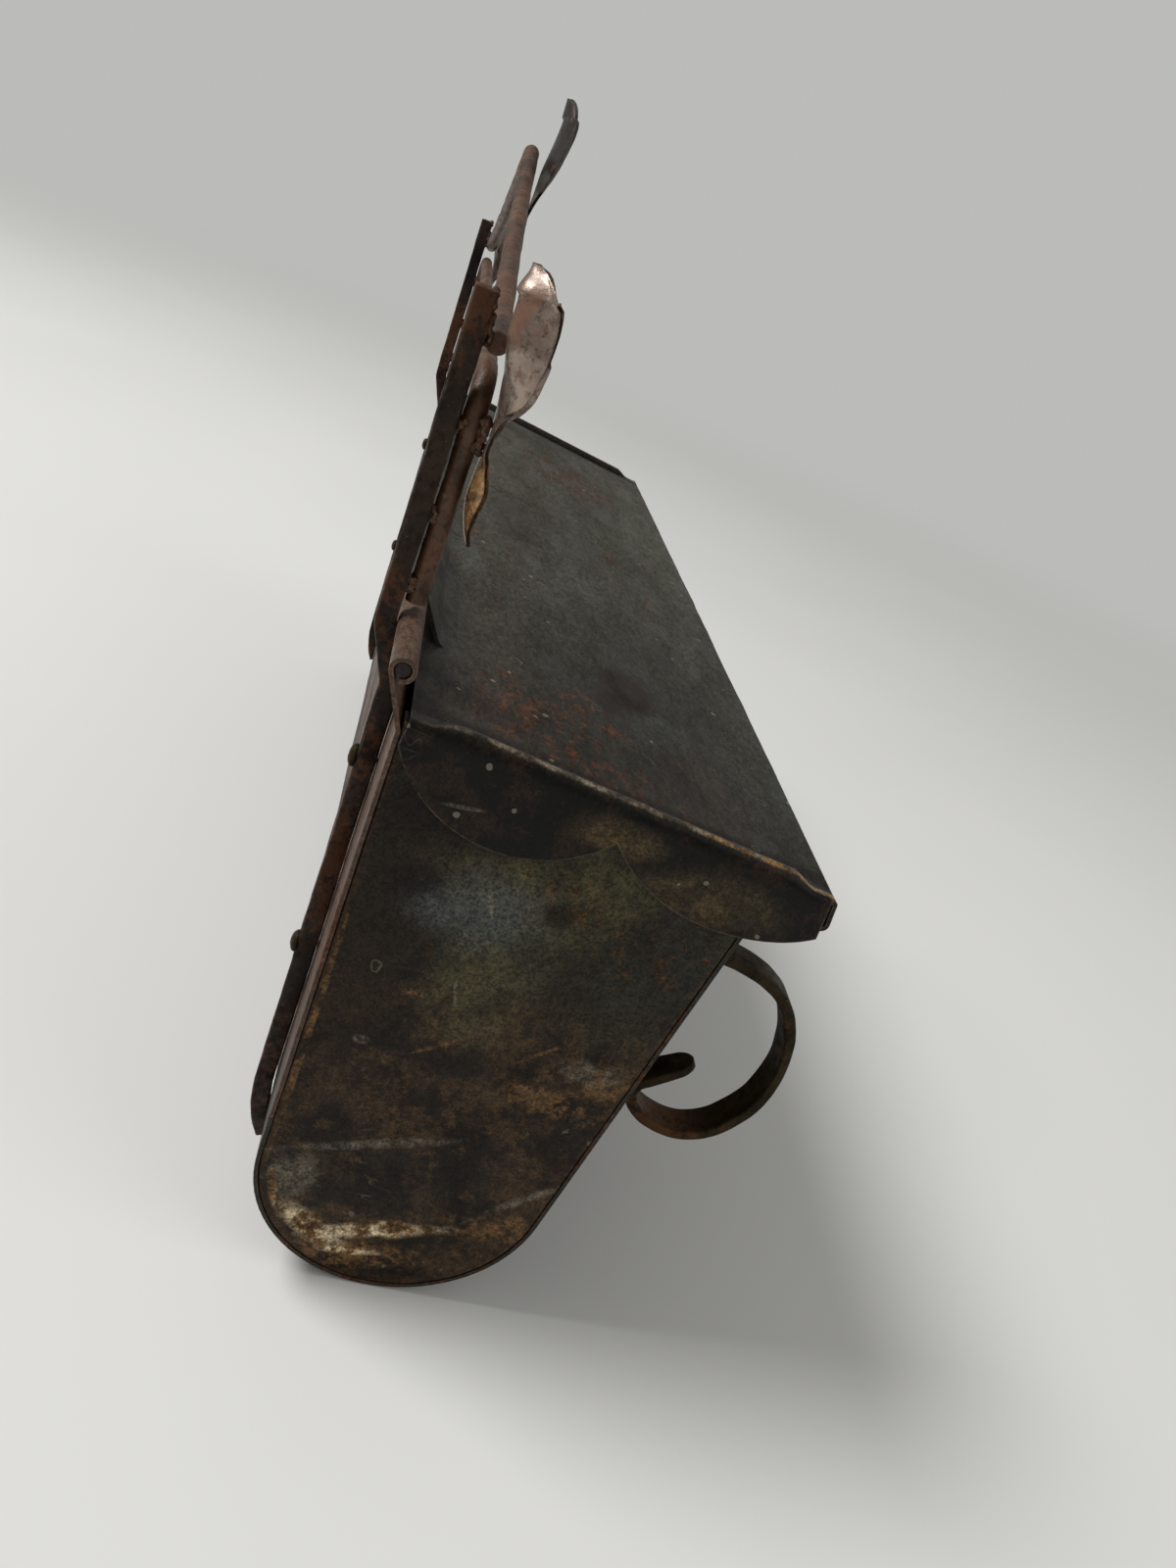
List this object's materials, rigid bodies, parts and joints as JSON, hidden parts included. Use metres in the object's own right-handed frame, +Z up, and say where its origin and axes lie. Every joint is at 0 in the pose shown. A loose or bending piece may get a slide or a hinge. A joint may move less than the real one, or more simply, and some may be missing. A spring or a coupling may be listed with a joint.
{
  "type": "wall mailbox",
  "caption": "Long sheet-steel wall mailbox with a hinged scalloped lid, rod crest, leaf ornaments and scrolled newspaper hooks.",
  "frame": {"origin": "on the wall plane, midway between the two posts, 30 mm above the hinge axis", "axes": "+Z up, +X along the lid to the right as seen from the front, +Y into the wall"},
  "size_m": [0.408, 0.1449, 0.287],
  "materials": {
    "lid_steel": "worn dark paint over rust",
    "box_steel": "worn dark paint over rust",
    "bar_steel": "dark rust",
    "rod_steel": "brown rust",
    "leaf_steel": "bare metal with rust",
    "strap_steel": "brown rust"
  },
  "bodies": {
    "box": {"back_sheet": "box_steel", "pocket_sheet": "box_steel", "left_end_plate": "box_steel", "right_end_plate": "box_steel", "hinge_pin": "bar_steel", "left_post": "bar_steel", "right_post": "bar_steel", "crest_arch": "rod_steel", "left_scroll": "rod_steel", "right_scroll": "rod_steel", "left_leaf": "leaf_steel", "right_leaf": "leaf_steel", "crest_leaf": "leaf_steel", "left_paper_hook": "strap_steel", "right_paper_hook": "strap_steel", "left_hook_rivet_upper": "strap_steel", "left_hook_rivet_lower": "strap_steel", "right_hook_rivet_upper": "strap_steel", "right_hook_rivet_lower": "strap_steel", "left_post_rivet_upper": "bar_steel", "left_post_rivet_lower": "bar_steel", "right_post_rivet_upper": "bar_steel", "right_post_rivet_lower": "bar_steel"},
    "lid": {"lid": "lid_steel"}
  },
  "joints": [
    {"name": "lid_hinge", "type": "hinge", "parent": "box", "child": "lid", "pos_m": [0, -0.008, -0.03], "axis": [-1, 0, 0], "range_deg": [0, 90]}
  ]
}
